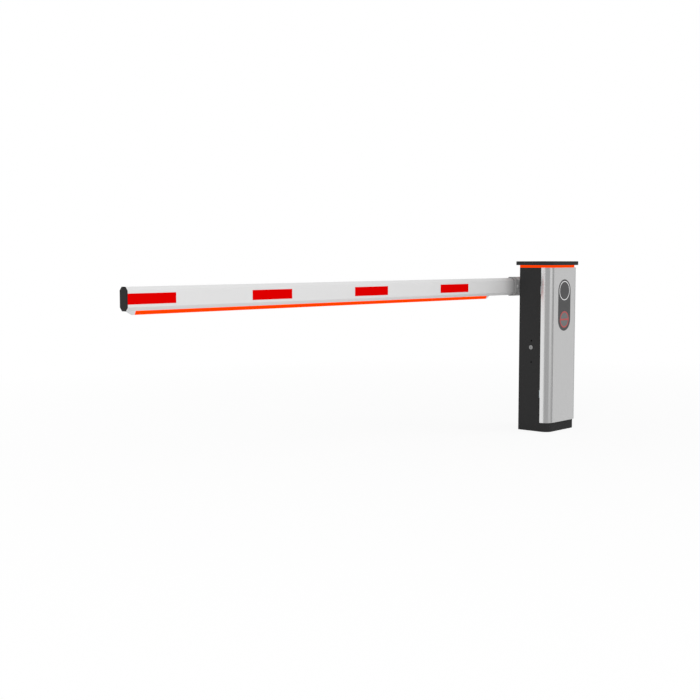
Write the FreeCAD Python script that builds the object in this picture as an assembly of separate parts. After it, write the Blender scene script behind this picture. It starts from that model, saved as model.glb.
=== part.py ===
import FreeCAD, Part
import math
import os

# Boom barrier for a road lane, in millimetres, +Z up.
# The origin is on the ground at the middle of the cabinet. The door looks
# along -Y and the boom lies along -X behind the cabinet.

# Cabinet case
body_width = 305.0
body_depth = 205.0
body_top = 961.4
body_sheet = 2.5
front_corner_radius = 41.4
back_corner_radius = 5.0
top_frame_width = 16.0
door_opening_sill = 72.0
door_opening_head = 26.0
opening_return = 14.0

# Base plate and its ground anchors
base_thickness = 8.0
anchor_spacing_x = 230.0
anchor_spacing_y = 140.0
anchor_hole = 14.0
cable_opening_width = 110.0
cable_opening_depth = 60.0
cable_opening_y = -50.0

# Light ring and cap
ring_height = 14.0
ring_wall = 8.0
cap_height = 22.4
cap_overhang = 16.5
cap_corner_radius = 42.0
cap_back_radius = 8.0
cap_sheet = 2.5
cap_edge_bevel = 1.8

# Door
door_gap = 6.0
door_wall = 3.0
door_bottom = 54.0
door_top_gap = 0.4
panel_sheet = 1.5
panel_bond = 0.1
seam_angle = 80.0
seam_gap = 2.6
tongue_angle = 88.0
rail_height = 22.0
rail_depth = 12.0
rail_inset = 8.0
rail_side_gap = 14.0
rail_wall = 2.0

# Door hinges
hinge_setback = 54.0
hinge_height = 45.0
hinge_upper_drop = 130.9
hinge_lower_rise = 169.5
knuckle_radius = 3.0
knuckle_standoff = 0.5
knuckle_clearance = 1.0
knuckle_gap = 0.3
leaf_thickness = 2.5
leaf_overlap = 1.0
pin_radius = 1.5
pin_clearance = 0.05

# Window in the door
window_width = 134.0
window_height = 302.0
window_drop = 69.4
window_fit = 0.25
window_proud = 0.5
window_flange = 6.0
window_flange_thickness = 2.0

# Key lock for releasing the boom by hand, on the left side
lock_y = 16.5
lock_drop = 467.4
lock_bezel = 25.0
lock_bezel_height = 3.0
lock_barrel = 22.0
lock_barrel_length = 30.0
lock_hole_fit = 0.2
key_slot_length = 9.0
key_slot_width = 2.0
key_slot_depth = 8.0

# Drive inside the cabinet
pivot_drop = 111.4
drive_plate_thickness = 8.0
drive_plate_width = 210.0
drive_plate_height = 240.0
drive_plate_drop = 40.0
gearbox_width = 130.0
gearbox_depth = 88.0
gearbox_height = 150.0
gearbox_corner = 10.0
motor_diameter = 84.0
motor_length = 160.0
motor_flange = 10.0
motor_flange_corner = 18.0
motor_cover = 34.0
motor_fin_count = 20
motor_fin_depth = 6.0
motor_fin_share = 0.35
control_width = 190.0
control_height = 250.0
control_depth = 62.0
control_bottom = 150.0
control_wall = 3.0
control_lid_thickness = 4.0

# Shaft, its bearing in the back wall, and the hub
shaft_diameter = 40.0
shaft_fit = 0.05
shaft_in_gearbox = 60.0
shaft_end_gap = 1.0
bearing_plate = 116.0
bearing_thickness = 8.0
bearing_spigot = 62.0
bearing_corner = 14.0
bearing_bolt_inset = 14.0
bearing_bolt_flats = 13.0
bearing_bolt_head = 5.3
bearing_bolt_shank = 8.0
bolt_hole_fit = 0.2
hub_diameter = 96.0
hub_clearance = 5.0

# Boom profile, an octagonal aluminium extrusion
boom_length = 3000.0
boom_tail = 88.0
boom_height = 100.0
boom_depth = 45.0
boom_chamfer_z = 15.0
boom_chamfer_y = 13.0
boom_wall = 2.2
boom_setback = 30.0
slot_neck = 9.0
slot_head = 14.0
slot_depth = 4.0
slot_wall = 1.8

# Clamp sleeve that holds the boom on the hub
collar_wall = 5.3
collar_fit = 0.3
collar_mouth = 168.0
collar_tail_wall = 5.0
collar_bolt_front = 132.0
collar_bolt_rear = 62.0
collar_bolt_flats = 17.0
collar_bolt_head = 2.5
collar_bolt_shank = 10.0

# Boom end cap
end_cap_thickness = 5.0
end_cap_grow = 0.8
end_cap_plug = 28.0
end_cap_plug_wall = 3.0

# Light strip under the boom and its two end pieces
strip_height = 17.2
strip_edge_width = 3.0
strip_fit = 0.2
tip_piece_setback = 7.0
tip_piece_length = 44.0
tip_piece_bevel = 30.0
root_piece_to_collar = 233.0
root_piece_length = 22.0
root_piece_bevel = 16.0

# Red reflectors on both faces of the boom
reflector_length = 256.5
reflector_pitch = 705.0
reflector_count = 4
reflector_height = 45.4
reflector_film = 0.6

# How far a cut runs past the faces that it opens
cut_past = 1.0

# Sizes worked out from the driving ones
half_width = body_width / 2
half_depth = body_depth / 2
inner_back = half_depth - body_sheet
ring_top = body_top + ring_height
cap_top = ring_top + cap_height
door_offset = door_gap + door_wall
door_front = -half_depth - door_offset
door_side = half_width + door_offset
door_top = body_top - door_top_gap
corner_x = half_width - front_corner_radius
corner_y = -half_depth + front_corner_radius
door_outer_radius = front_corner_radius + door_offset
door_inner_radius = door_outer_radius - door_wall
panel_inner_radius = door_outer_radius - panel_sheet
panel_back = door_front + panel_sheet
window_top = body_top - window_drop
window_bottom = window_top - window_height
hinge_upper = body_top - hinge_upper_drop
hinge_lower = door_bottom + hinge_lower_rise
hinge_x = -half_width - knuckle_standoff - knuckle_radius
hinge_y = -half_depth + hinge_setback
return_back = hinge_y - knuckle_radius - knuckle_clearance
wall_top = body_top - body_sheet
lock_z = body_top - lock_drop
pivot_height = body_top - pivot_drop
drive_plate_front = inner_back - drive_plate_thickness
motor_y = drive_plate_front - gearbox_depth / 2
gearbox_bottom = pivot_height - gearbox_height / 2
boom_front = half_depth + boom_setback
boom_centre_y = boom_front + boom_depth / 2
boom_bottom = pivot_height - boom_height / 2
collar_front = boom_front - collar_fit - collar_wall
collar_back = boom_front + boom_depth + collar_fit + collar_wall
bearing_front = half_depth + bearing_thickness
hub_front = bearing_front + hub_clearance
profile_tip = -boom_length + end_cap_thickness
tip_piece_start = profile_tip + tip_piece_setback
strip_start = tip_piece_start + tip_piece_length
root_piece_end = -collar_mouth - root_piece_to_collar
strip_end = root_piece_end - root_piece_length
strip_top_width = boom_depth - 2 * boom_chamfer_y


def vec(x, y, z):
    return FreeCAD.Vector(x, y, z)


def box(x0, x1, y0, y1, z0, z1):
    """Block between two opposite corners."""
    return Part.makeBox(x1 - x0, y1 - y0, z1 - z0, vec(x0, y0, z0))


def rod(radius, start, direction, length):
    """Round bar from a start point along a direction."""
    return Part.makeCylinder(radius, length, start, direction)


def rounded_outline(corners):
    """Closed outline in the XY plane; each corner is (x, y, radius)."""
    edges = []
    stops = []
    count = len(corners)
    for i in range(count):
        x, y, radius = corners[i]
        here = vec(x, y, 0)
        before = vec(corners[i - 1][0], corners[i - 1][1], 0) - here
        after = vec(corners[(i + 1) % count][0], corners[(i + 1) % count][1], 0) - here
        before.normalize()
        after.normalize()
        half = before.getAngle(after) / 2
        reach = radius / math.tan(half)
        middle = before + after
        middle.normalize()
        top = here + middle * (radius / math.sin(half) - radius)
        stops.append((here + before * reach, top, here + after * reach, radius))
    for i in range(count):
        start, top, end, radius = stops[i]
        following = stops[(i + 1) % count][0]
        if radius > 0:
            edges.append(Part.Arc(start, top, end).toShape())
        if end.distanceToPoint(following) > 0.001:
            edges.append(Part.LineSegment(end, following).toShape())
    return Part.Wire(edges)


def upright(corners, z0, z1):
    """Solid with a rounded plan outline, from height z0 to z1."""
    face = Part.Face(rounded_outline(corners))
    face.translate(vec(0, 0, z0))
    return face.extrude(vec(0, 0, z1 - z0))


def facing(corners, y0, y1):
    """Solid with a rounded front outline given in X and Z, from y0 to y1."""
    face = Part.Face(rounded_outline(corners))
    face.rotate(vec(0, 0, 0), vec(1, 0, 0), 90)
    face.translate(vec(0, y0, 0))
    return face.extrude(vec(0, y1 - y0, 0))


def lengthwise(points, x0, x1):
    """Solid with a straight-sided section given in Y and Z, from x0 to x1."""
    corners = [vec(x0, y, z) for y, z in points]
    corners.append(corners[0])
    return Part.Face(Part.makePolygon(corners)).extrude(vec(x1 - x0, 0, 0))


def plan(grow, front_radius, back_radius):
    """Plan outline of the cabinet, grown outwards by a distance."""
    side = half_width + grow
    front = -half_depth - grow
    back = half_depth + grow
    return [
        (-side, front, front_radius),
        (side, front, front_radius),
        (side, back, back_radius),
        (-side, back, back_radius),
    ]


def case_plan(grow):
    """Plan outline that keeps the same distance from the case all round."""
    back_radius = max(back_corner_radius + grow, 0)
    return plan(grow, front_corner_radius + grow, back_radius)


def base_plate():
    """Flat plate on the ground with a cable opening and four anchor holes."""
    plate = upright(case_plan(0), 0, base_thickness)
    half = cable_opening_width / 2
    y0 = cable_opening_y - cable_opening_depth / 2
    y1 = y0 + cable_opening_depth
    plate = plate.cut(box(-half, half, y0, y1, -cut_past, base_thickness + cut_past))
    for side in (-1, 1):
        for end in (-1, 1):
            foot = vec(side * anchor_spacing_x / 2, end * anchor_spacing_y / 2, -cut_past)
            plate = plate.cut(rod(anchor_hole / 2, foot, vec(0, 0, 1), base_thickness + 2 * cut_past))
    return plate


def body_shell():
    """Folded sheet that makes the back and both sides of the case."""
    shell = upright(case_plan(0), base_thickness, wall_top)
    hollow = upright(case_plan(-body_sheet), base_thickness - cut_past, wall_top + cut_past)
    front = box(
        -half_width - cut_past,
        half_width + cut_past,
        -half_depth - cut_past,
        corner_y,
        base_thickness - cut_past,
        wall_top + cut_past,
    )
    spigot = vec(0, inner_back - cut_past, pivot_height)
    through = body_sheet + 2 * cut_past
    bore = rod(bearing_spigot / 2 + bolt_hole_fit, spigot, vec(0, 1, 0), through)
    shell = shell.cut(hollow).cut(front).cut(bore)
    start = vec(-half_width - cut_past, lock_y, lock_z)
    shell = shell.cut(rod(lock_barrel / 2 + lock_hole_fit, start, vec(1, 0, 0), through))
    for x, z in bearing_bolt_places():
        start = vec(x, inner_back - cut_past, z)
        hole = bearing_bolt_shank / 2 + bolt_hole_fit
        shell = shell.cut(rod(hole, start, vec(0, 1, 0), through))
    return shell


def front_post_left():
    """Rounded front corner of the case with a return beside the doorway."""
    inner = front_corner_radius - body_sheet
    bend = ring_sector(inner, front_corner_radius, 0, 90, base_thickness, wall_top)
    lip = box(
        -corner_x - body_sheet,
        -corner_x,
        -half_depth + body_sheet / 2,
        -half_depth + opening_return,
        base_thickness,
        wall_top,
    )
    return bend.fuse(lip).removeSplitter()


def front_crosspiece(z0, z1, lip_z0):
    """Flat sheet between the front posts with a return along the doorway."""
    sheet = box(-corner_x, corner_x, -half_depth, -half_depth + body_sheet, z0, z1)
    half = corner_x - body_sheet
    y0 = -half_depth + body_sheet / 2
    lip = box(-half, half, y0, -half_depth + opening_return, lip_z0, lip_z0 + body_sheet)
    return sheet.fuse(lip).removeSplitter()


def front_header():
    z0 = body_top - door_opening_head
    return front_crosspiece(z0, wall_top, z0)


def front_sill():
    return front_crosspiece(base_thickness, door_opening_sill, door_opening_sill - body_sheet)


def top_frame():
    """Flat frame on the top edges of the case, under the light ring."""
    sheet = upright(case_plan(0), wall_top, body_top)
    return sheet.cut(upright(case_plan(-top_frame_width), wall_top - cut_past, body_top + cut_past))


def light_ring():
    ring = upright(case_plan(0), body_top, ring_top)
    return ring.cut(upright(case_plan(-ring_wall), body_top - cut_past, ring_top + cut_past))


def cap():
    """Folded lid with a closed rim that lies on the light ring."""
    lid = upright(plan(cap_overhang, cap_corner_radius, cap_back_radius), ring_top, cap_top)
    rims = []
    for edge in lid.Edges:
        if edge.BoundBox.ZLength < 0.01:
            rims.append(edge)
    lid = lid.makeChamfer(cap_edge_bevel, rims)
    inside = cap_overhang - cap_sheet
    hollow = upright(
        plan(inside, cap_corner_radius - cap_sheet, cap_back_radius - cap_sheet),
        ring_top + cap_sheet,
        cap_top - cap_sheet,
    )
    mouth = upright(case_plan(-ring_wall), ring_top - cut_past, ring_top + cap_sheet + cut_past)
    return lid.cut(hollow).cut(mouth)


def ring_sector(inner, outer, start, end, z0, z1):
    """Upright piece of the left corner bend, angles in degrees from the side."""

    def at(radius, angle):
        turn = math.radians(180 + angle)
        x = -corner_x + radius * math.cos(turn)
        return vec(x, corner_y + radius * math.sin(turn), z0)

    middle = (start + end) / 2
    edges = [
        Part.Arc(at(outer, start), at(outer, middle), at(outer, end)).toShape(),
        Part.LineSegment(at(outer, end), at(inner, end)).toShape(),
        Part.Arc(at(inner, end), at(inner, middle), at(inner, start)).toShape(),
        Part.LineSegment(at(inner, start), at(outer, start)).toShape(),
    ]
    return Part.Face(Part.Wire(edges)).extrude(vec(0, 0, z1 - z0))


def mirrored(shape):
    return shape.mirror(vec(0, 0, 0), vec(1, 0, 0))


def door_corner_left():
    """Extruded corner: side return, bend, and a tongue behind the panel."""
    inner = door_side - door_wall
    side = box(-door_side, -inner, corner_y, return_back, door_bottom, door_top)
    bend = ring_sector(door_inner_radius, door_outer_radius, 0, seam_angle, door_bottom, door_top)
    under = panel_inner_radius - panel_bond
    tongue = ring_sector(door_inner_radius, under, seam_angle, tongue_angle, door_bottom, door_top)
    return side.fuse([bend, tongue]).removeSplitter()


def window_outline(grow):
    half = window_width / 2 + grow
    return [
        (-half, window_bottom - grow, half),
        (half, window_bottom - grow, half),
        (half, window_top + grow, half),
        (-half, window_top + grow, half),
    ]


def door_panel():
    """Front sheet with its long edges rolled to meet the corners."""
    flat = box(-corner_x, corner_x, door_front, panel_back, door_bottom, door_top)
    start = seam_angle + math.degrees(seam_gap / door_outer_radius)
    edge = ring_sector(panel_inner_radius, door_outer_radius, start, 90, door_bottom, door_top)
    panel = flat.fuse([edge, mirrored(edge)]).removeSplitter()
    return panel.cut(facing(window_outline(window_fit), door_front - cut_past, panel_back + cut_past))


def door_rail(z0):
    """Channel bonded behind the panel, open towards the panel."""
    half = corner_x - rail_side_gap
    back = panel_back + rail_depth
    rail = box(-half, half, panel_back, back, z0, z0 + rail_height)
    groove = box(
        -half - cut_past,
        half + cut_past,
        panel_back - cut_past,
        back - rail_wall,
        z0 + rail_wall,
        z0 + rail_height - rail_wall,
    )
    return rail.cut(groove)


def knuckle_spans(middle):
    """Heights of the lower fixed, moving and upper fixed knuckles."""
    share = (hinge_height - 2 * knuckle_gap) / 3
    z0 = middle - hinge_height / 2
    spans = []
    for i in range(3):
        start = z0 + i * (share + knuckle_gap)
        spans.append((start, start + share))
    return spans


def hinge_leaf(middle, fixed):
    """Half of a narrow butt hinge; the fixed half carries the pin."""
    spans = knuckle_spans(middle)
    z0 = middle - hinge_height / 2
    z1 = middle + hinge_height / 2
    if fixed:
        x0 = -half_width - leaf_thickness
        own = [spans[0], spans[2]]
    else:
        x0 = -door_side + door_wall
        own = [spans[1]]
    x1 = x0 + leaf_thickness
    leaf = box(x0, x1, corner_y, return_back, z0, z1)
    for start, end in own:
        neck = box(x0, x1, return_back - leaf_overlap, hinge_y, start, end)
        knuckle = rod(knuckle_radius, vec(hinge_x, hinge_y, start), vec(0, 0, 1), end - start)
        leaf = leaf.fuse([neck, knuckle])
    if fixed:
        pin = rod(pin_radius, vec(hinge_x, hinge_y, z0), vec(0, 0, 1), hinge_height)
        return leaf.fuse(pin).removeSplitter()
    start = vec(hinge_x, hinge_y, z0 - cut_past)
    bore = rod(pin_radius + pin_clearance, start, vec(0, 0, 1), hinge_height + 2 * cut_past)
    return leaf.cut(bore).removeSplitter()


def display_window():
    """Dark window with rounded ends on a sheet bonded behind the panel."""
    pane = facing(window_outline(0), door_front - window_proud, panel_back)
    half = window_width / 2 + window_flange
    sheet_back = panel_back + window_flange_thickness
    z0 = window_bottom - window_flange
    z1 = window_top + window_flange
    sheet = box(-half, half, panel_back, sheet_back, z0, z1)
    return pane.fuse(sheet).removeSplitter()


def release_lock():
    """Key lock: round bezel and a slotted barrel through the wall."""
    face = vec(-half_width, lock_y, lock_z)
    bezel = rod(lock_bezel / 2, face, vec(-1, 0, 0), lock_bezel_height)
    barrel = rod(lock_barrel / 2, face, vec(1, 0, 0), lock_barrel_length)
    front = -half_width - lock_bezel_height
    slot = box(
        front - cut_past,
        front + key_slot_depth,
        lock_y - key_slot_width / 2,
        lock_y + key_slot_width / 2,
        lock_z - key_slot_length / 2,
        lock_z + key_slot_length / 2,
    )
    return bezel.fuse(barrel).removeSplitter().cut(slot)


def drive_plate():
    """Thick plate inside the back wall that carries the gearbox."""
    half = drive_plate_width / 2
    z0 = pivot_height - drive_plate_height / 2 - drive_plate_drop
    plate = box(-half, half, drive_plate_front, inner_back, z0, z0 + drive_plate_height)
    through = drive_plate_thickness + 2 * cut_past
    start = vec(0, drive_plate_front - cut_past, pivot_height)
    return plate.cut(rod(bearing_spigot / 2 + bolt_hole_fit, start, vec(0, 1, 0), through))


def bevelled(half_x, z0, z1, corner):
    """Front outline of a block with its four corners cut off."""
    outline = []
    for x, z, dx, dz in ((-1, z0, 1, 1), (1, z0, -1, 1), (1, z1, -1, -1), (-1, z1, 1, -1)):
        along = (x * half_x + dx * corner, z, 0)
        upward = (x * half_x, z + dz * corner, 0)
        outline += [upward, along] if dx * dz > 0 else [along, upward]
    return outline


def gearbox():
    """Closed gearbox on the drive plate, bored for the shaft."""
    outline = bevelled(gearbox_width / 2, gearbox_bottom, gearbox_bottom + gearbox_height, gearbox_corner)
    housing = facing(outline, drive_plate_front - gearbox_depth, drive_plate_front)
    start = vec(0, drive_plate_front - shaft_in_gearbox, pivot_height)
    bore = rod(shaft_diameter / 2 + shaft_fit, start, vec(0, 1, 0), shaft_in_gearbox + cut_past)
    return housing.cut(bore)


def motor_fins(z0, z1):
    """Star-shaped frame with cooling fins along the motor."""
    outer = motor_diameter / 2
    inner = outer - motor_fin_depth
    pitch = 2 * math.pi / motor_fin_count
    outline = []
    for i in range(motor_fin_count):
        for radius, share in (
            (inner, -0.5 * motor_fin_share),
            (outer, -0.5 * motor_fin_share),
            (outer, 0.5 * motor_fin_share),
            (inner, 0.5 * motor_fin_share),
        ):
            turn = pitch * (i + share)
            outline.append((radius * math.cos(turn), motor_y + radius * math.sin(turn), 0))
    return upright(outline, z0, z1)


def motor():
    """Motor hanging under the gearbox: square flange, fins and fan cover."""
    half = motor_diameter / 2
    flange_bottom = gearbox_bottom - motor_flange
    motor_bottom = gearbox_bottom - motor_length
    cover_top = motor_bottom + motor_cover
    flange = box(-half, half, motor_y - half, motor_y + half, flange_bottom, gearbox_bottom)
    uprights = []
    for edge in flange.Edges:
        if edge.BoundBox.ZLength > motor_flange / 2:
            uprights.append(edge)
    flange = flange.makeChamfer(motor_flange_corner, uprights)
    cover = rod(half, vec(0, motor_y, motor_bottom), vec(0, 0, 1), motor_cover)
    return flange.fuse([motor_fins(cover_top, flange_bottom), cover]).removeSplitter()


def control_box():
    """Open box for the control unit, fixed on the back wall."""
    half = control_width / 2
    front = inner_back - control_depth
    z1 = control_bottom + control_height
    tray = box(-half, half, front, inner_back, control_bottom, z1)
    hollow = box(
        -half + control_wall,
        half - control_wall,
        front - cut_past,
        inner_back - control_wall,
        control_bottom + control_wall,
        z1 - control_wall,
    )
    return tray.cut(hollow)


def control_lid():
    """Lid that closes the control box."""
    half = control_width / 2
    front = inner_back - control_depth
    z1 = control_bottom + control_height
    return box(-half, half, front - control_lid_thickness, front, control_bottom, z1)


def bearing_bolt_places():
    reach = bearing_plate / 2 - bearing_bolt_inset
    places = []
    for side in (-1, 1):
        for end in (-1, 1):
            places.append((side * reach, pivot_height + end * reach))
    return places


def bearing_flange():
    """Square bearing plate on the back wall with a spigot through it."""
    half = bearing_plate / 2
    outline = bevelled(half, pivot_height - half, pivot_height + half, bearing_corner)
    plate = facing(outline, half_depth, bearing_front)
    reach = body_sheet + drive_plate_thickness
    spigot = rod(bearing_spigot / 2, vec(0, drive_plate_front, pivot_height), vec(0, 1, 0), reach)
    flange = plate.fuse(spigot).removeSplitter()
    start = vec(0, drive_plate_front - cut_past, pivot_height)
    through = reach + bearing_thickness + 2 * cut_past
    flange = flange.cut(rod(shaft_diameter / 2 + shaft_fit, start, vec(0, 1, 0), through))
    hole_radius = bearing_bolt_shank / 2 + bolt_hole_fit
    for x, z in bearing_bolt_places():
        start = vec(x, half_depth - cut_past, z)
        hole = rod(hole_radius, start, vec(0, 1, 0), bearing_thickness + 2 * cut_past)
        flange = flange.cut(hole)
    return flange


def hexagon(flats, x, z, y0, y1):
    """Hexagonal bolt head or nut facing the front or back."""
    radius = flats / math.sqrt(3)
    points = []
    for i in range(7):
        turn = math.radians(60 * i)
        points.append(vec(x + radius * math.cos(turn), y0, z + radius * math.sin(turn)))
    return Part.Face(Part.makePolygon(points)).extrude(vec(0, y1 - y0, 0))


def bearing_bolts():
    """Hexagon bolts through the bearing plate and the back wall."""
    bolts = []
    for x, z in bearing_bolt_places():
        head = hexagon(bearing_bolt_flats, x, z, bearing_front, bearing_front + bearing_bolt_head)
        length = bearing_front - inner_back
        shank = rod(bearing_bolt_shank / 2, vec(x, inner_back, z), vec(0, 1, 0), length)
        bolts.append(head.fuse(shank).removeSplitter())
    return Part.makeCompound(bolts)


def drive_shaft():
    """Shaft with its hub flange, turned in one piece."""
    start = drive_plate_front - shaft_in_gearbox + shaft_end_gap
    shaft = rod(shaft_diameter / 2, vec(0, start, pivot_height), vec(0, 1, 0), hub_front - start)
    hub = rod(hub_diameter / 2, vec(0, hub_front, pivot_height), vec(0, 1, 0), collar_front - hub_front)
    return shaft.fuse(hub).removeSplitter()


def octagon(grow):
    """Boom section in Y and Z, each face moved outwards by a distance."""
    slope = math.hypot(boom_chamfer_y, boom_chamfer_z)
    half_y = boom_depth / 2
    half_z = boom_height / 2
    edge_z = half_z - boom_chamfer_z + grow * (slope - boom_chamfer_z) / boom_chamfer_y
    edge_y = half_y - boom_chamfer_y + grow * (slope - boom_chamfer_y) / boom_chamfer_z
    y = half_y + grow
    z = half_z + grow
    points = [
        (-y, -edge_z),
        (-edge_y, -z),
        (edge_y, -z),
        (y, -edge_z),
        (y, edge_z),
        (edge_y, z),
        (-edge_y, z),
        (-y, edge_z),
    ]
    return [(boom_centre_y + a, pivot_height + b) for a, b in points]


def collar_bolt_places():
    return (-collar_bolt_front, collar_bolt_rear)


def bolt_holes(y0, y1):
    """Clearance holes for the clamp bolts between two Y planes."""
    holes = []
    for x in collar_bolt_places():
        start = vec(x, y0, pivot_height)
        holes.append(rod(collar_bolt_shank / 2 + bolt_hole_fit, start, vec(0, 1, 0), y1 - y0))
    return holes


def boom_profile():
    """Hollow octagonal extrusion with a slot below for the light strip."""
    tail = boom_tail
    tube = lengthwise(octagon(0), profile_tip, tail)
    bore = lengthwise(octagon(-boom_wall), profile_tip - cut_past, tail + cut_past)
    half_channel = slot_head / 2 + slot_wall
    channel_top = boom_bottom + boom_wall + slot_depth + slot_wall
    channel = box(
        profile_tip,
        tail,
        boom_centre_y - half_channel,
        boom_centre_y + half_channel,
        boom_bottom + boom_wall / 2,
        channel_top,
    )
    half_head = slot_head / 2
    half_neck = slot_neck / 2
    head = box(
        profile_tip - cut_past,
        tail + cut_past,
        boom_centre_y - half_head,
        boom_centre_y + half_head,
        boom_bottom + boom_wall,
        boom_bottom + boom_wall + slot_depth,
    )
    neck = box(
        profile_tip - cut_past,
        tail + cut_past,
        boom_centre_y - half_neck,
        boom_centre_y + half_neck,
        boom_bottom - cut_past,
        boom_bottom + boom_wall + cut_past,
    )
    profile = tube.cut(bore).fuse(channel).removeSplitter().cut(head).cut(neck)
    for hole in bolt_holes(boom_front - cut_past, boom_front + boom_depth + cut_past):
        profile = profile.cut(hole)
    return profile


def boom_collar():
    """Clamp sleeve round the boom, closed at its tail."""
    x0 = -collar_mouth
    x1 = boom_tail + collar_fit + collar_tail_wall
    sleeve = lengthwise(octagon(collar_fit + collar_wall), x0, x1)
    sleeve = sleeve.cut(lengthwise(octagon(collar_fit), x0 - cut_past, boom_tail + collar_fit))
    for hole in bolt_holes(collar_front - cut_past, collar_back + cut_past):
        sleeve = sleeve.cut(hole)
    return sleeve


def collar_bolts():
    """Two hexagon bolts through sleeve and boom, each with a nut."""
    bolts = []
    front = collar_front - collar_bolt_head
    grip = collar_back - collar_front
    for x in collar_bolt_places():
        head = hexagon(collar_bolt_flats, x, pivot_height, front, collar_front)
        start = vec(x, collar_front, pivot_height)
        shank = rod(collar_bolt_shank / 2, start, vec(0, 1, 0), grip)
        nut = hexagon(collar_bolt_flats, x, pivot_height, collar_back, collar_back + collar_bolt_head)
        bolts.append(head.fuse([shank, nut]).removeSplitter())
    return Part.makeCompound(bolts)


def end_cap():
    """Cap on the boom tip with a hollow plug that fits inside the profile."""
    plate = lengthwise(octagon(end_cap_grow), -boom_length, profile_tip)
    inside = -boom_wall - collar_fit
    plug = lengthwise(octagon(inside), profile_tip, profile_tip + end_cap_plug)
    plug_end = profile_tip + end_cap_plug + cut_past
    core = lengthwise(octagon(inside - end_cap_plug_wall), profile_tip, plug_end)
    channel_top = boom_bottom + boom_wall + slot_depth + slot_wall + collar_fit
    below = box(
        profile_tip,
        plug_end,
        boom_front,
        boom_front + boom_depth,
        boom_bottom,
        channel_top,
    )
    return plate.fuse(plug.cut(core).cut(below)).removeSplitter()


def strip_section(with_foot):
    """Light strip section: wedge below the boom and a foot in its slot."""
    half_top = strip_top_width / 2
    half_edge = strip_edge_width / 2
    half_neck = slot_neck / 2 - strip_fit
    half_head = slot_head / 2 - strip_fit
    z_edge = boom_bottom - strip_height
    z_ledge = boom_bottom + boom_wall + strip_fit
    z_head = boom_bottom + boom_wall + slot_depth - strip_fit
    left = [(-half_edge, z_edge), (-half_top, boom_bottom)]
    if with_foot:
        left += [(-half_neck, boom_bottom), (-half_neck, z_ledge)]
        left += [(-half_head, z_ledge), (-half_head, z_head)]
    right = [(-y, z) for y, z in reversed(left)]
    return [(boom_centre_y + y, z) for y, z in left + right]


def light_strip():
    return lengthwise(strip_section(True), strip_start, strip_end)


def strip_end_piece(x_inner, x_outer, bevel):
    """Plain end piece of the strip, its outer end cut on a slant."""
    x0 = min(x_inner, x_outer)
    x1 = max(x_inner, x_outer)
    piece = lengthwise(strip_section(False), x0, x1)
    direction = 1 if x_outer > x_inner else -1
    low = boom_bottom - strip_height
    corner = [
        vec(x_outer, boom_front, boom_bottom),
        vec(x_outer + direction * cut_past, boom_front, boom_bottom),
        vec(x_outer + direction * cut_past, boom_front, low - cut_past),
        vec(x_outer - direction * bevel, boom_front, low - cut_past),
        vec(x_outer - direction * bevel, boom_front, low),
        vec(x_outer, boom_front, boom_bottom),
    ]
    cutter = Part.Face(Part.makePolygon(corner)).extrude(vec(0, boom_depth, 0))
    return piece.cut(cutter)


def reflector(index, front):
    """Red reflective strip bonded on a flat face of the boom."""
    x0 = profile_tip + index * reflector_pitch
    z0 = pivot_height - reflector_height / 2
    if front:
        y0 = boom_front - reflector_film
    else:
        y0 = boom_front + boom_depth
    return box(x0, x0 + reflector_length, y0, y0 + reflector_film, z0, z0 + reflector_height)


parts = {
    "base_plate": base_plate(),
    "body_shell": body_shell(),
    "front_post_left": front_post_left(),
    "front_post_right": mirrored(front_post_left()),
    "front_header": front_header(),
    "front_sill": front_sill(),
    "top_frame": top_frame(),
    "light_ring": light_ring(),
    "cap": cap(),
    "release_lock": release_lock(),
    "drive_plate": drive_plate(),
    "gearbox": gearbox(),
    "motor": motor(),
    "control_box": control_box(),
    "control_lid": control_lid(),
    "bearing_flange": bearing_flange(),
    "bearing_bolts": bearing_bolts(),
    "hinge_upper_fixed": hinge_leaf(hinge_upper, True),
    "hinge_lower_fixed": hinge_leaf(hinge_lower, True),
    "hinge_upper_moving": hinge_leaf(hinge_upper, False),
    "hinge_lower_moving": hinge_leaf(hinge_lower, False),
    "door_panel": door_panel(),
    "door_corner_left": door_corner_left(),
    "door_corner_right": mirrored(door_corner_left()),
    "door_rail_top": door_rail(body_top - door_opening_head - rail_inset - rail_height),
    "door_rail_bottom": door_rail(door_opening_sill + rail_inset),
    "display_window": display_window(),
    "drive_shaft": drive_shaft(),
    "boom_collar": boom_collar(),
    "collar_bolts": collar_bolts(),
    "boom_profile": boom_profile(),
    "boom_end_cap": end_cap(),
    "light_strip": light_strip(),
    "strip_end_tip": strip_end_piece(strip_start, tip_piece_start, tip_piece_bevel),
    "strip_end_root": strip_end_piece(strip_end, root_piece_end, root_piece_bevel),
}
for number in range(reflector_count):
    parts["reflector_front_%d" % (number + 1)] = reflector(number, True)
    parts["reflector_back_%d" % (number + 1)] = reflector(number, False)

os.makedirs("parts", exist_ok=True)
for name, shape in parts.items():
    shape.exportStep("parts/%s.step" % name)
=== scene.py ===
import math

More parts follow.
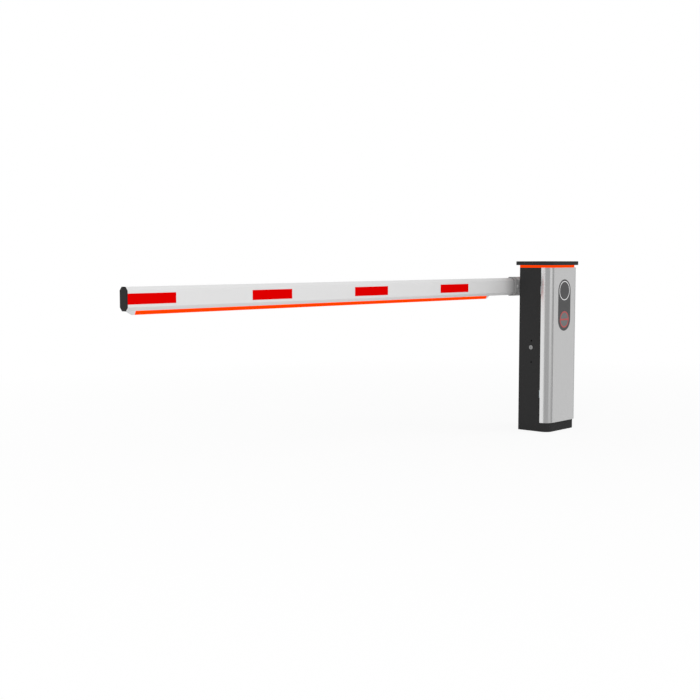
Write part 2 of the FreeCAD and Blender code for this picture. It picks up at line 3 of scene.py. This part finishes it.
import bmesh
import bpy
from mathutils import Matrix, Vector


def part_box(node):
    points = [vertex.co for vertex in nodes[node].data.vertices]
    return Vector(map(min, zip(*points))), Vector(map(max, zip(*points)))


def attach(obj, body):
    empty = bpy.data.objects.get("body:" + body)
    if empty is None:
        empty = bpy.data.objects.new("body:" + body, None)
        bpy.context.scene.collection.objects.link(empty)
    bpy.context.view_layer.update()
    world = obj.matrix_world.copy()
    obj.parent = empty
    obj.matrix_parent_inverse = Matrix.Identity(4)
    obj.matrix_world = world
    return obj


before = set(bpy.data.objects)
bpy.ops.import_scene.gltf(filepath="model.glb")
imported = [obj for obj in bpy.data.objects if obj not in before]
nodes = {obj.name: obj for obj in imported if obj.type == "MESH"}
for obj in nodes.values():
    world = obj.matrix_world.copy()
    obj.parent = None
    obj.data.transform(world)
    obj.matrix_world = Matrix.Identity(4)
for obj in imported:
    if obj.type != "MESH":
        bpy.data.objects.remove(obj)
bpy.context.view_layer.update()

# Camera
# It stands in front of the lane side, a little above the cabinet, and looks
# level with the boom as the photograph does.
CAMERA_PLACE = (-5.9526, -3.72135, 1.021)
CAMERA_TILT = 85.446
CAMERA_TURN = -48.325
LENS_MM = 59.82
SENSOR_MM = 36
camera = bpy.data.objects.new("camera", bpy.data.cameras.new("camera"))
camera.location = CAMERA_PLACE
camera.rotation_euler = (math.radians(CAMERA_TILT), 0, math.radians(CAMERA_TURN))
camera.data.lens = LENS_MM
camera.data.sensor_width = SENSOR_MM
bpy.context.scene.collection.objects.link(camera)
bpy.context.scene.camera = camera
bpy.context.scene.view_settings.view_transform = "Standard"

# Studio light
# An even white room, a wide soft lamp to the right of the door and a smaller
# one to its left. Tall glowing cards round the object are seen only in the
# metal, where they draw the bands along the rounded door edges.
SURROUND_LIGHT = 0.58
WHITE = (1, 1, 1, 1)
LAMP_DISTANCE = 12.0
LAMP_AIM = (-0.6, 0, 0.6)
LAMPS = (
    # name, bearing in degrees, height, width, height of its face, watts
    ("right_lamp", 310, 5.2, 10.0, 7.0, 480),
    ("left_lamp", 208, 6.5, 6.0, 6.0, 620),
)
CARD_DISTANCE = 7.0
CARD_LOW = -6.0
CARD_HIGH = 9.0
CARD_STEPS = 12
CARD_FADE_LOW = -0.9
CARD_FADE_HIGH = 1.1
CARDS = (
    # name, first and last bearing in degrees, brightness above, brightness at the foot
    ("side_card", 96, 184, 1.44, 1.44),
    ("dim_card", 184, 250, 0.68, 0.68),
    ("bend_card", 250, 281, 1.32, 0.85),
    ("seam_card", 281, 306, 0.68, 0.68),
    ("door_card", 306, 358, 1.09, 1.09),
)


def make_nodes(material):
    """Empty node tree of a material, with short calls to add and join nodes."""
    material.use_nodes = True
    tree = material.node_tree
    tree.nodes.clear()

    def add(kind, **settings):
        node = tree.nodes.new(kind)
        for name, value in settings.items():
            if name in node.inputs:
                node.inputs[name].default_value = value
            else:
                setattr(node, name, value)
        return node

    def join(out_socket, in_socket):
        tree.links.new(out_socket, in_socket)

    return add, join


def seen_directly(add, join):
    """1 where the camera sees a thing straight, mirrored or through glass, else 0."""
    path = add("ShaderNodeLightPath")
    seen = path.outputs["Is Camera Ray"]
    for ray in ("Is Glossy Ray", "Is Transmission Ray"):
        either = add("ShaderNodeMath", operation="MAXIMUM")
        join(seen, either.inputs[0])
        join(path.outputs[ray], either.inputs[1])
        seen = either.outputs[0]
    return seen


world = bpy.data.worlds.new("room")
bpy.context.scene.world = world
add, join = make_nodes(world)
light = add("ShaderNodeBackground", Color=WHITE, Strength=SURROUND_LIGHT)
backdrop = add("ShaderNodeBackground", Color=WHITE, Strength=1.0)
pick = add("ShaderNodeMixShader")
join(seen_directly(add, join), pick.inputs[0])
join(light.outputs[0], pick.inputs[1])
join(backdrop.outputs[0], pick.inputs[2])
join(pick.outputs[0], add("ShaderNodeOutputWorld").inputs[0])

for name, bearing, height, width, tall, power in LAMPS:
    lamp = bpy.data.objects.new(name, bpy.data.lights.new(name, "AREA"))
    lamp.data.shape = "RECTANGLE"
    lamp.data.size = width
    lamp.data.size_y = tall
    lamp.data.energy = power
    turn = math.radians(bearing)
    lamp.location = (LAMP_DISTANCE * math.cos(turn), LAMP_DISTANCE * math.sin(turn), height)
    aim = Vector(LAMP_AIM) - lamp.location
    lamp.rotation_euler = aim.to_track_quat("-Z", "Y").to_euler()
    lamp.visible_camera = False
    lamp.visible_glossy = False
    bpy.context.scene.collection.objects.link(lamp)

for name, first, last, above, below in CARDS:
    points = []
    for step in range(CARD_STEPS + 1):
        turn = math.radians(first + (last - first) * step / CARD_STEPS)
        for z in (CARD_LOW, CARD_HIGH):
            points.append((CARD_DISTANCE * math.cos(turn), CARD_DISTANCE * math.sin(turn), z))
    faces = [(2 * i, 2 * i + 1, 2 * i + 3, 2 * i + 2) for i in range(CARD_STEPS)]
    card_mesh = bpy.data.meshes.new(name)
    card_mesh.from_pydata(points, [], faces)
    card = bpy.data.objects.new(name, card_mesh)
    bpy.context.scene.collection.objects.link(card)
    card.visible_camera = False
    card.visible_diffuse = False
    card.visible_transmission = False
    card.visible_volume_scatter = False
    card.visible_shadow = False
    glow_paint = bpy.data.materials.new(name)
    add, join = make_nodes(glow_paint)
    place = add("ShaderNodeTexCoord")
    height = add("ShaderNodeSeparateXYZ")
    join(place.outputs["Object"], height.inputs[0])
    level = add(
        "ShaderNodeMapRange",
        **{"From Min": CARD_FADE_LOW, "From Max": CARD_FADE_HIGH, "To Min": below, "To Max": above},
    )
    join(height.outputs["Z"], level.inputs["Value"])
    glow = add("ShaderNodeEmission", Color=WHITE)
    join(level.outputs[0], glow.inputs["Strength"])
    join(glow.outputs[0], add("ShaderNodeOutputMaterial").inputs[0])
    glow_paint.cycles.emission_sampling = "NONE"
    card_mesh.materials.append(glow_paint)

# Floor
# A pale level ground that fades into the white surround, and keeps the
# object's soft shadow near its foot.
FLOOR_REACH = 60.0
FLOOR_PALE = (0.9, 0.9, 0.9, 1)
SHADOW_START = 0.5
SHADOW_REACH = 5.0
WHITE_SHARE_NEAR = 0.88
floor_corners = [(x * FLOOR_REACH, y * FLOOR_REACH, 0) for x, y in ((-1, -1), (1, -1), (1, 1), (-1, 1))]
floor_mesh = bpy.data.meshes.new("floor")
floor_mesh.from_pydata(floor_corners, [], [(0, 1, 2, 3)])
floor = bpy.data.objects.new("floor", floor_mesh)
bpy.context.scene.collection.objects.link(floor)
floor_paint = bpy.data.materials.new("floor_white")
add, join = make_nodes(floor_paint)
place = add("ShaderNodeTexCoord")
distance = add("ShaderNodeVectorMath", operation="LENGTH")
join(place.outputs["Object"], distance.inputs[0])
fade = add(
    "ShaderNodeMapRange",
    **{"From Min": SHADOW_START, "From Max": SHADOW_REACH, "To Min": WHITE_SHARE_NEAR, "To Max": 1.0},
)
join(distance.outputs["Value"], fade.inputs["Value"])
share = add("ShaderNodeMath", operation="MULTIPLY")
join(seen_directly(add, join), share.inputs[0])
join(fade.outputs[0], share.inputs[1])
matte = add("ShaderNodeBsdfDiffuse", Color=FLOOR_PALE)
glow = add("ShaderNodeEmission", Color=WHITE, Strength=1.0)
blend = add("ShaderNodeMixShader")
join(share.outputs[0], blend.inputs[0])
join(matte.outputs[0], blend.inputs[1])
join(glow.outputs[0], blend.inputs[2])
join(blend.outputs[0], add("ShaderNodeOutputMaterial").inputs[0])
floor_mesh.materials.append(floor_paint)
floor.visible_glossy = False

# Cabinet case
# Folded steel sheets welded into an upright box: back and sides in one, two
# rounded front posts, a header and a sill round the doorway, a frame on top.
# All black powder coating with a fine grain.
CASE_BLACK = (0.0315, 0.0315, 0.0317)
CASE_SPECULAR = 0.02
POWDER_GRAIN = 900
POWDER_BUMP = 0.08
POWDER_CLOUD = 6.0
GRAIN_LOW = 0.3
GRAIN_HIGH = 0.7
EASED_EDGE = 0.0006


def speckled(add, join, colour, scale, spread, stretch=(1, 1, 1)):
    """Colour that varies a little over the surface, and the grain behind it."""
    place = add("ShaderNodeTexCoord")
    sized = add("ShaderNodeMapping")
    sized.inputs["Scale"].default_value = stretch
    join(place.outputs["Object"], sized.inputs[0])
    grain = add("ShaderNodeTexNoise", Scale=scale, Detail=4.0, Roughness=0.6)
    join(sized.outputs[0], grain.inputs["Vector"])
    tint = add("ShaderNodeValToRGB")
    low, high = tint.color_ramp.elements
    low.position, high.position = GRAIN_LOW, GRAIN_HIGH
    low.color = [c * (1 - spread) for c in colour] + [1]
    high.color = [min(c * (1 + spread), 1) for c in colour] + [1]
    join(grain.outputs["Fac"], tint.inputs[0])
    return tint.outputs[0], grain.outputs["Fac"]


def grain_bump(add, join, height, strength, distance=0.0004):
    """Normal with the grain raised on it and the hard edges slightly eased."""
    eased = add("ShaderNodeBevel", samples=4, Radius=EASED_EDGE)
    bump = add("ShaderNodeBump", Strength=strength, Distance=distance)
    join(height, bump.inputs["Height"])
    join(eased.outputs[0], bump.inputs["Normal"])
    return bump.outputs[0]


def rough_range(add, join, grain, low, high):
    """Roughness between two values, following the grain."""
    spread = add(
        "ShaderNodeMapRange",
        **{"From Min": GRAIN_LOW, "From Max": GRAIN_HIGH, "To Min": low, "To Max": high},
    )
    join(grain, spread.inputs["Value"])
    return spread.outputs[0]


def shade_along(add, join, place, tint, shade):
    """The tint times a factor that follows the steps (x, factor) along the piece."""
    low, high = shade[0][0], shade[-1][0]
    along = add("ShaderNodeSeparateXYZ")
    join(place, along.inputs[0])
    share = add("ShaderNodeMapRange", **{"From Min": low, "From Max": high})
    join(along.outputs["X"], share.inputs["Value"])
    steps = add("ShaderNodeValToRGB")
    while len(steps.color_ramp.elements) < len(shade):
        steps.color_ramp.elements.new(0.5)
    for stop, (x, factor) in zip(steps.color_ramp.elements, shade):
        stop.position = (x - low) / (high - low)
        stop.color = (factor, factor, factor, 1)
    join(share.outputs[0], steps.inputs[0])
    shaded = add("ShaderNodeMix", data_type="RGBA", blend_type="MULTIPLY")
    shaded.inputs[0].default_value = 1.0
    join(tint, shaded.inputs[6])
    join(steps.outputs[0], shaded.inputs[7])
    return shaded.outputs[2]


def powder_coating(name, colour, specular, rough=(0.42, 0.55), spread=0.06, bump=POWDER_BUMP, shade=()):
    """Baked powder paint: fine orange-peel grain, darker or lighter along the piece by shade."""
    paint = bpy.data.materials.new(name)
    add, join = make_nodes(paint)
    tint, grain = speckled(add, join, colour, POWDER_GRAIN, spread)
    cloud = add("ShaderNodeTexNoise", Scale=POWDER_CLOUD, Detail=2.0)
    place = add("ShaderNodeTexCoord")
    join(place.outputs["Object"], cloud.inputs["Vector"])
    if shade:
        tint = shade_along(add, join, place.outputs["Object"], tint, shade)
    shader = add("ShaderNodeBsdfPrincipled")
    shader.inputs["Specular IOR Level"].default_value = specular
    join(tint, shader.inputs["Base Color"])
    join(rough_range(add, join, cloud.outputs["Fac"], *rough), shader.inputs["Roughness"])
    join(grain_bump(add, join, grain, bump), shader.inputs["Normal"])
    join(shader.outputs[0], add("ShaderNodeOutputMaterial").inputs[0])
    return paint


def dress(material, *names):
    """Gives a finish to CAD nodes."""
    for name in names:
        mesh_object = nodes[name]
        mesh_object.data.materials.clear()
        mesh_object.data.materials.append(material)


case_black = powder_coating("case_black", CASE_BLACK, CASE_SPECULAR)
dress(case_black, "body_shell", "front_post_left", "front_post_right")
dress(case_black, "front_header", "front_sill", "top_frame")

# Base plate
# Thick steel plate welded under the case, with the anchor holes and the cable
# opening, painted together with the case.
dress(case_black, "base_plate")

# Light ring
# Translucent orange acrylic frame between case and cap, lit from inside by a
# row of small lamps, so it glows a little unevenly along its length.
RING_ORANGE = (1.0, 0.072, 0.0)
RING_DEEP = (1.0, 0.046, 0.0)
RING_STOPS = ((0.05, RING_ORANGE), (0.5, RING_DEEP), (0.95, RING_ORANGE))
RING_GLOW = 1.0
RING_UNEVEN = 0.03
RING_BODY = (0.3, 0.0, 0.0)
RING_FROST = 700.0
LAMP_PITCH = 0.025
BAND_AT_SCALE_1 = math.pi / 10


def lit_orange(name, strength, low, high):
    """Glowing orange plastic, deeper in colour half way up where its lamps are."""
    plastic = bpy.data.materials.new(name)
    add, join = make_nodes(plastic)
    place = add("ShaderNodeTexCoord")
    spots = add("ShaderNodeTexWave", wave_type="BANDS", bands_direction="X")
    spots.inputs["Scale"].default_value = BAND_AT_SCALE_1 / LAMP_PITCH
    spots.inputs["Distortion"].default_value = 0.0
    join(place.outputs["Object"], spots.inputs["Vector"])
    dimmest, brightest = strength * (1 - RING_UNEVEN), strength * (1 + RING_UNEVEN)
    level = add("ShaderNodeMapRange", **{"To Min": dimmest, "To Max": brightest})
    join(spots.outputs["Fac"], level.inputs["Value"])
    height = add("ShaderNodeSeparateXYZ")
    join(place.outputs["Object"], height.inputs[0])
    share = add("ShaderNodeMapRange", **{"From Min": low, "From Max": high})
    join(height.outputs["Z"], share.inputs["Value"])
    depth = add("ShaderNodeValToRGB")
    depth.color_ramp.elements.new(0.5)
    for stop, (place_up, colour) in zip(depth.color_ramp.elements, RING_STOPS):
        stop.position = place_up
        stop.color = (*colour, 1)
    join(share.outputs[0], depth.inputs[0])
    frost = add("ShaderNodeTexNoise", Scale=RING_FROST, Detail=3.0)
    join(place.outputs["Object"], frost.inputs["Vector"])
    shader = add("ShaderNodeBsdfPrincipled", Roughness=0.35)
    shader.inputs["Base Color"].default_value = (*RING_BODY, 1)
    shader.inputs["Specular IOR Level"].default_value = 0.0
    join(depth.outputs[0], shader.inputs["Emission Color"])
    join(level.outputs[0], shader.inputs["Emission Strength"])
    join(grain_bump(add, join, frost.outputs["Fac"], 0.1), shader.inputs["Normal"])
    join(shader.outputs[0], add("ShaderNodeOutputMaterial").inputs[0])
    return plastic


ring_low, ring_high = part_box("light_ring")
dress(lit_orange("ring_orange", RING_GLOW, ring_low[2], ring_high[2]), "light_ring")

# Cap
# Shallow folded steel lid that overhangs the light ring all round, with
# rolled edges, powder coated a touch lighter than the case.
CAP_BLACK = (0.032, 0.032, 0.0322)
dress(powder_coating("cap_black", CAP_BLACK, CASE_SPECULAR), "cap")

# Door corners
# Two tall aluminium extrusions, each a straight return along the side of the
# case and a wide bend to the front, satin anodised with fine draw lines.
DOOR_SATIN = (0.5, 0.5, 0.5)
DRAW_LINES = (1, 1, 0.012)


def drawn_metal(name, colour, rough, stretch, scale=260, spread=0.035, bump=0.05):
    """Metal with fine lines left along one direction by drawing or brushing."""
    metal = bpy.data.materials.new(name)
    add, join = make_nodes(metal)
    tint, grain = speckled(add, join, colour, scale, spread, stretch)
    shader = add("ShaderNodeBsdfPrincipled", Metallic=1.0)
    join(tint, shader.inputs["Base Color"])
    join(rough_range(add, join, grain, *rough), shader.inputs["Roughness"])
    join(grain_bump(add, join, grain, bump, distance=0.0002), shader.inputs["Normal"])
    join(shader.outputs[0], add("ShaderNodeOutputMaterial").inputs[0])
    return metal


dress(
    drawn_metal("door_satin", DOOR_SATIN, rough=(0.2, 0.27), stretch=DRAW_LINES),
    "door_corner_left", "door_corner_right",
)

# Door panel
# Flat front sheet held between the corner extrusions, brushed upright, with
# its long edges rolled back to the seams.
PANEL_BRUSHED = (0.5, 0.5, 0.5)
PANEL_ROUGH = (0.34, 0.44)
BRUSH_LINES = (1, 1, 0.03)
panel_metal = drawn_metal(
    "panel_brushed", PANEL_BRUSHED, PANEL_ROUGH, BRUSH_LINES, scale=420, spread=0.05, bump=0.08
)
dress(panel_metal, "door_panel")

# Door rails
# Two zinc-plated channels bonded behind the panel to keep it flat. The drive
# plate and the bearing bolts have the same plating.
ZINC = (0.42, 0.43, 0.44)
ZINC_FLAKES = 140.0
FLAKE_SHARE = 0.12


def plated_steel(name, colour, rough=(0.3, 0.5)):
    """Plated steel with the faint crystal pattern of a zinc bath."""
    plating = bpy.data.materials.new(name)
    add, join = make_nodes(plating)
    place = add("ShaderNodeTexCoord")
    flakes = add("ShaderNodeTexVoronoi", Scale=ZINC_FLAKES)
    join(place.outputs["Object"], flakes.inputs["Vector"])
    tint, grain = speckled(add, join, colour, scale=60, spread=0.08)
    crystals = add("ShaderNodeMix", data_type="RGBA", blend_type="MULTIPLY")
    crystals.inputs[0].default_value = FLAKE_SHARE
    join(tint, crystals.inputs[6])
    join(flakes.outputs["Color"], crystals.inputs[7])
    shader = add("ShaderNodeBsdfPrincipled", Metallic=1.0)
    join(crystals.outputs[2], shader.inputs["Base Color"])
    join(rough_range(add, join, grain, *rough), shader.inputs["Roughness"])
    join(grain_bump(add, join, grain, 0.05), shader.inputs["Normal"])
    join(shader.outputs[0], add("ShaderNodeOutputMaterial").inputs[0])
    return plating


zinc_plated = plated_steel("zinc_plated", ZINC)
dress(zinc_plated, "door_rail_top", "door_rail_bottom", "drive_plate", "bearing_bolts")

# Display window
# Dark smoked acrylic with rounded ends, set in the panel and a hair proud of
# it, with a smooth polished face.
SMOKED = (0.071, 0.071, 0.072)


def smooth_plastic(name, colour, rough, specular, spread=0.04, scale=40, bump=0.01):
    """Moulded or cast plastic with a faint unevenness in its surface."""
    plastic = bpy.data.materials.new(name)
    add, join = make_nodes(plastic)
    tint, grain = speckled(add, join, colour, scale, spread)
    shader = add("ShaderNodeBsdfPrincipled")
    shader.inputs["Specular IOR Level"].default_value = specular
    join(tint, shader.inputs["Base Color"])
    join(rough_range(add, join, grain, *rough), shader.inputs["Roughness"])
    join(grain_bump(add, join, grain, bump), shader.inputs["Normal"])
    join(shader.outputs[0], add("ShaderNodeOutputMaterial").inputs[0])
    return plastic


dress(smooth_plastic("smoked_acrylic", SMOKED, rough=(0.18, 0.24), specular=0.1), "display_window")

# Signs on the window
# Thin printed films bonded on the acrylic: a white ring with a bare middle,
# and below it a grey disc with a red ring and a level red bar.
FILM = 0.0004
RING_WHITE = (0.8, 0.8, 0.8)
RING_CENTRE_DROP = 0.066
RING_OUTER = 0.0562
RING_STROKE = 0.0046
DISC_GREY = (0.155, 0.158, 0.158)
NO_ENTRY_RED = (0.43, 0.09, 0.09)
DISC_CENTRE_RISE = 0.0665
DISC_OUTER = 0.0488
DISC_STROKE = 0.0078
BAR_HEIGHT = 0.0095
BAR_LIFT = 0.00002
SHEET_EDGE = 0.006
CIRCLE_STEPS = 96
EDGE_EASE = 0.00008


def film_ring(name, outer, inner, centre, thickness, bar=0.0):
    """Flat film facing the front: a ring, a full disc if inner is 0, with a bar."""
    steps = CIRCLE_STEPS
    shape = bmesh.new()
    cx, cy, cz = centre
    rings = []
    for y, ease in ((cy, 0), (cy - thickness + EDGE_EASE, 0), (cy - thickness, EDGE_EASE)):
        loops = []
        for radius in (outer - ease, inner + ease if inner else 0):
            if not radius:
                continue
            loop = []
            for i in range(steps):
                turn = 2 * math.pi * i / steps
                x, z = cx + radius * math.cos(turn), cz + radius * math.sin(turn)
                loop.append(shape.verts.new((x, y, z)))
            loops.append(loop)
        rings.append(loops)
    for level in range(2):
        for loop in range(len(rings[0])):
            low, high = rings[level][loop], rings[level + 1][loop]
            for i in range(steps):
                j = (i + 1) % steps
                shape.faces.new((low[i], low[j], high[j], high[i]))
    for level in (0, 2):
        if inner:
            out, into = rings[level]
            for i in range(steps):
                j = (i + 1) % steps
                shape.faces.new((out[i], out[j], into[j], into[i]))
        else:
            shape.faces.new(rings[level][0])
    if bar:
        half = inner + (outer - inner) / 2
        corners = [
            (cx + sx * half, y, cz + sz * bar / 2)
            for y in (cy, cy - thickness - BAR_LIFT)
            for sx, sz in ((-1, -1), (1, -1), (1, 1), (-1, 1))
        ]
        verts = [shape.verts.new(c) for c in corners]
        shape.faces.new(verts[0:4])
        shape.faces.new(verts[4:8])
        for i in range(4):
            j = (i + 1) % 4
            shape.faces.new((verts[i], verts[j], verts[4 + j], verts[4 + i]))
    bmesh.ops.recalc_face_normals(shape, faces=shape.faces)
    mesh = bpy.data.meshes.new(name)
    shape.to_mesh(mesh)
    shape.free()
    piece = bpy.data.objects.new(name, mesh)
    bpy.context.scene.collection.objects.link(piece)
    return piece


def printed_film(name, colour):
    """Satin film with the faint dot grain of a screen print."""
    return smooth_plastic(
        name, colour, rough=(0.35, 0.45), specular=0.1, spread=0.05, scale=1500, bump=0.02
    )


window_low, window_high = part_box("display_window")
window_front = window_low[1]
window_middle = (window_low[0] + window_high[0]) / 2
ring_z = window_high[2] - SHEET_EDGE - RING_CENTRE_DROP
disc_z = window_low[2] + SHEET_EDGE + DISC_CENTRE_RISE
ring_inner = RING_OUTER - RING_STROKE
disc_inner = DISC_OUTER - DISC_STROKE
signs = (
    # name, outer and inner radius, height, layer, height of its bar, colour, slot
    ("badge_ring", RING_OUTER, ring_inner, ring_z, 0, 0.0, RING_WHITE, "strip_end_plastic"),
    ("sign_disc", DISC_OUTER, 0, disc_z, 0, 0.0, DISC_GREY, "control_grey"),
    ("no_entry_ring", DISC_OUTER, disc_inner, disc_z, 1, BAR_HEIGHT, NO_ENTRY_RED, "red_reflector"),
)
for name, outer, inner, z, layer, bar, colour, slot in signs:
    sign = film_ring(name, outer, inner, (window_middle, window_front - layer * FILM, z), FILM, bar)
    sign.data.materials.append(printed_film(name + "_film", colour))
    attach(sign, "door")

# Hinges
# Two narrow steel butt hinges on the left return: each fixed leaf and its pin
# sit on the case, each moving leaf is behind the door return. Bright plated.
HINGE_STEEL = (0.4, 0.46, 0.475)
hinge_plated = plated_steel("hinge_plated", HINGE_STEEL, rough=(0.25, 0.35))
dress(hinge_plated, "hinge_upper_fixed", "hinge_lower_fixed", "hinge_upper_moving", "hinge_lower_moving")

# Key lock and side screws
# Nickel-plated cam lock through the left wall; two small black socket screws
# above and below it hold the release gear inside.
LOCK_NICKEL = (0.19, 0.19, 0.19)
SCREW_BLACK = (0.003, 0.003, 0.003)
SCREW_Y = 0.0148
SCREW_HEIGHTS = (0.533, 0.407)
SCREW_RADIUS = 0.0042
SCREW_STEPS = 36
HEAD_DOME = ((1.0, 0.0), (1.0, 0.2), (0.93, 0.39), (0.75, 0.52), (0.62, 0.55))
SOCKET_REACH = 0.45
SOCKET_TOP = 0.55
SOCKET_FLOOR = 0.17
lock_nickel = drawn_metal("lock_nickel", LOCK_NICKEL, rough=(0.3, 0.4), stretch=(1, 1, 1), scale=500)
dress(lock_nickel, "release_lock")


def button_screws(name, centres, facing, radius):
    """Domed socket screw heads standing out along facing, as one piece."""
    steps = SCREW_STEPS
    out = Vector(facing)
    across = Vector((-out.y, out.x, 0))
    up = Vector((0, 0, 1))
    corner = math.pi / 3
    shape = bmesh.new()
    for centre in centres:
        loops = []
        for reach, rise in HEAD_DOME + ((SOCKET_REACH, SOCKET_TOP), (SOCKET_REACH, SOCKET_FLOOR)):
            loop = []
            for i in range(steps):
                turn = 2 * math.pi * i / steps
                from_middle = reach
                if reach == SOCKET_REACH:
                    from_middle = reach * math.cos(corner / 2) / math.cos(turn % corner - corner / 2)
                round_middle = across * math.cos(turn) + up * math.sin(turn)
                offset = round_middle * from_middle + out * rise
                loop.append(shape.verts.new(Vector(centre) + offset * radius))
            loops.append(loop)
        for low, high in zip(loops, loops[1:]):
            for i in range(steps):
                j = (i + 1) % steps
                shape.faces.new((low[i], low[j], high[j], high[i]))
        shape.faces.new(loops[0])
        shape.faces.new(loops[-1])
    bmesh.ops.recalc_face_normals(shape, faces=shape.faces)
    mesh = bpy.data.meshes.new(name)
    shape.to_mesh(mesh)
    shape.free()
    piece = bpy.data.objects.new(name, mesh)
    bpy.context.scene.collection.objects.link(piece)
    return piece


side_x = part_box("body_shell")[0][0]
side_places = [(side_x, SCREW_Y, z) for z in SCREW_HEIGHTS]
side_screws = button_screws("side_screws", side_places, (-1, 0, 0), SCREW_RADIUS)
side_screws.data.materials.append(powder_coating("screw_black", SCREW_BLACK, specular=0.0))
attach(side_screws, "cabinet")

# Drive
# Cast gearbox with the shaft bearing on the back wall, a painted motor below
# it and a grey control box in the foot of the case.
CAST_GREY = (0.36, 0.36, 0.37)
MOTOR_PAINT = (0.05, 0.05, 0.055)
BOX_GREY = (0.45, 0.45, 0.45)
SHAFT_STEEL = (0.4, 0.4, 0.4)
TURNED_LINES = (1, 0.02, 1)
control_grey = smooth_plastic(
    "control_grey", BOX_GREY, rough=(0.4, 0.5), specular=0.4, scale=900, bump=0.05
)
turned_shaft = drawn_metal(
    "turned_shaft", SHAFT_STEEL, rough=(0.25, 0.35), stretch=TURNED_LINES, scale=300
)
dress(plated_steel("cast_aluminium", CAST_GREY, rough=(0.45, 0.6)), "gearbox", "bearing_flange")
dress(powder_coating("motor_paint", MOTOR_PAINT, specular=0.4), "motor")
dress(control_grey, "control_box", "control_lid")
dress(turned_shaft, "drive_shaft")

# Cover screws
# Zinc-plated socket screws at the four corners of the gearbox cover and of
# the control box lid.
COVER_SCREWS = (
    # name, cover, inset from the cover's edges, radius of the head
    ("gearbox_screws", "gearbox", 0.014, 0.0055),
    ("lid_screws", "control_lid", 0.011, 0.0038),
)
for name, cover, inset, radius in COVER_SCREWS:
    low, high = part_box(cover)
    corners = [
        (x, low[1], z)
        for x in (low[0] + inset, high[0] - inset)
        for z in (low[2] + inset, high[2] - inset)
    ]
    screws = button_screws(name, corners, (0, -1, 0), radius)
    screws.data.materials.append(zinc_plated)
    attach(screws, "cabinet")

# Boom
# Octagonal aluminium extrusion with a slot along its underside, coated white, with painted shade that
# darkens it towards the cabinet, most of all just before the sleeve.
BOOM_WHITE = (0.706, 0.706, 0.706)
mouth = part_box("boom_collar")[0][0]
# Painted shade: the white steps darker towards the cabinet and darkest just before the sleeve, where the
# cabinet shades the boom.
painted_shade_near_cabinet = (
    # place along the boom, share of the white left under the painted shade
    (mouth - 1.3, 1.0),
    (mouth - 0.85, 0.98),
    (mouth - 0.4, 0.89),
    (mouth - 0.2, 0.885),
    (mouth - 0.12, 0.92),
    (mouth - 0.085, 0.905),
    (mouth - 0.062, 0.857),
    (mouth - 0.032, 0.735),
    (mouth - 0.012, 0.62),
    (mouth, 0.52),
)
boom_white = powder_coating(
    "boom_white", BOOM_WHITE, specular=0.15, rough=(0.35, 0.45), spread=0.02, bump=0.02, shade=painted_shade_near_cabinet
)
dress(boom_white, "boom_profile")

# Clamp sleeve
# Grey coated steel sleeve that holds the boom on the hub, with painted shade round its mouth and painted
# light towards the hub, with two bolts through sleeve and boom.
SLEEVE_GREY = (0.5, 0.5, 0.5)
BOLT_GREY = (0.62, 0.62, 0.62)
# Painted shade darkens the grey at the mouth and its end face; painted light lightens it towards the
# hub, where the case shades it.
painted_shade_and_light_on_sleeve = (
    # place along the sleeve, share of the grey
    (mouth, 0.45),
    (mouth + 0.001, 0.45),
    (mouth + 0.0015, 0.85),
    (mouth + 0.02, 0.74),
    (mouth + 0.028, 0.8),
    (mouth + 0.042, 1.2),
    (mouth + 0.09, 1.4),
)
dress(powder_coating("sleeve_grey", SLEEVE_GREY, specular=0.1, shade=painted_shade_and_light_on_sleeve), "boom_collar")
dress(powder_coating("bolt_grey", BOLT_GREY, specular=0.1), "collar_bolts")

# Boom end cap
# Moulded black plastic cap that closes the tip of the boom, held by a plug
# inside the tube.
END_CAP_BLACK = (0.0155, 0.0155, 0.0155)
cap_plastic = smooth_plastic(
    "end_cap_black", END_CAP_BLACK, rough=(0.45, 0.6), specular=0.08, scale=800, bump=0.06
)
dress(cap_plastic, "boom_end_cap")

# Light strip
# Orange translucent wedge in the slot under the boom, lit like the ring, with
# a pale moulded end piece at each end.
STRIP_END_GREY = (0.7, 0.71, 0.72)
strip_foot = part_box("light_strip")[0][2]
boom_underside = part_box("boom_profile")[0][2]
dress(lit_orange("strip_orange", RING_GLOW, strip_foot, boom_underside), "light_strip")
strip_end_grey = smooth_plastic("strip_end_grey", STRIP_END_GREY, rough=(0.4, 0.5), specular=0.4)
dress(strip_end_grey, "strip_end_tip", "strip_end_root")

# Reflectors
# Red retroreflective sheet in a fine honeycomb of cells with a darker web
# between them, cut in strips and bonded on both faces of the boom.
REFLECTOR_RED = (0.72, 0.0, 0.0)
WEB_RED = (0.635, 0.0, 0.0)
WEB_START = 0.02
WEB_END = 0.09
CELL = 0.003
STRIPS_A_FACE = 4
red = bpy.data.materials.new("reflector_red")
add, join = make_nodes(red)
place = add("ShaderNodeTexCoord")
cells = add("ShaderNodeTexVoronoi", feature="DISTANCE_TO_EDGE", Scale=1 / CELL)
cells.inputs["Randomness"].default_value = 0.0
join(place.outputs["Object"], cells.inputs["Vector"])
web = add("ShaderNodeValToRGB")
in_web, in_cell = web.color_ramp.elements
in_web.position, in_cell.position = WEB_START, WEB_END
in_web.color = (*WEB_RED, 1)
in_cell.color = (*REFLECTOR_RED, 1)
join(cells.outputs["Distance"], web.inputs[0])
shader = add("ShaderNodeBsdfPrincipled", Roughness=0.5)
shader.inputs["Specular IOR Level"].default_value = 0.0
join(web.outputs[0], shader.inputs["Base Color"])
join(grain_bump(add, join, cells.outputs["Distance"], 0.05), shader.inputs["Normal"])
join(shader.outputs[0], add("ShaderNodeOutputMaterial").inputs[0])
for side in ("front", "back"):
    for number in range(1, STRIPS_A_FACE + 1):
        dress(red, "reflector_%s_%d" % (side, number))
